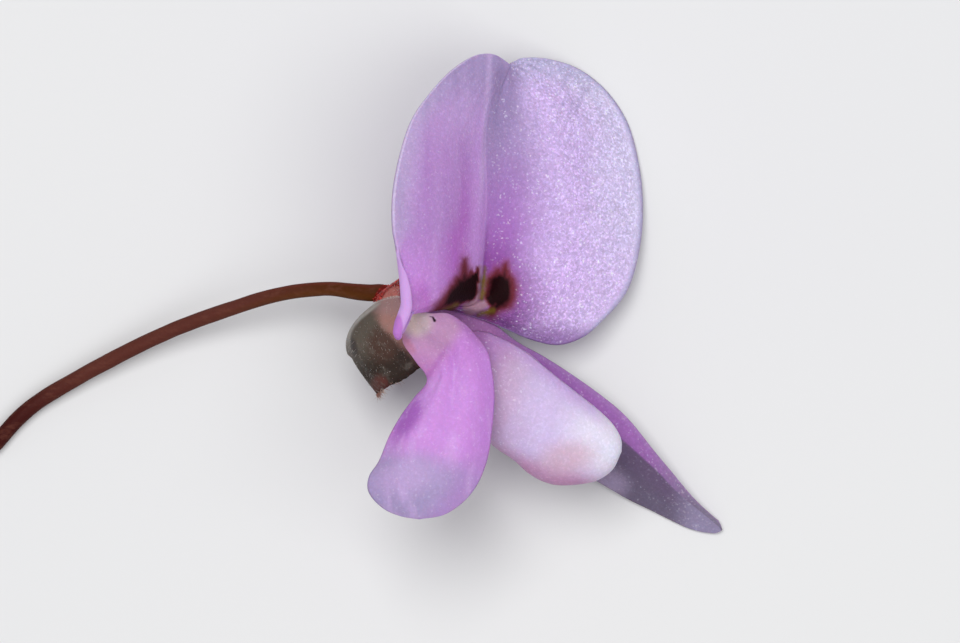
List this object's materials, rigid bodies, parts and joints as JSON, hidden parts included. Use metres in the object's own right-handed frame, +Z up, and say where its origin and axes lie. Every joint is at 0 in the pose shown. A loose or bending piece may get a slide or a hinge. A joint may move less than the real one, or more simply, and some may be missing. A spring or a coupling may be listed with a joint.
{
  "type": "tick-trefoil flower",
  "caption": "Lilac pea flower on an arched reddish stalk, laid down as picked: upright creased standard with dark eye spots, hanging wings, pale boat keel and brownish calyx.",
  "frame": {"origin": "centre of the bounding box's bottom, on the surface that the flower lies on", "axes": "+X from the stalk's cut end towards the flower, +Y up the standard, +Z up from the surface"},
  "size_m": [0.024, 0.0154, 0.0065],
  "materials": {
    "pedicel": "satin",
    "calyx": "matte",
    "standard": "matte",
    "wing_right": "matte",
    "wing_left": "matte",
    "keel": "satin",
    "stamens": "matte",
    "pistil": "matte"
  },
  "bodies": {
    "root": {"pedicel": "pedicel", "calyx": "calyx", "standard": "standard", "wing_right": "wing_right", "wing_left": "wing_left", "keel": "keel", "stamens": "stamens", "pistil": "pistil"}
  },
  "joints": []
}
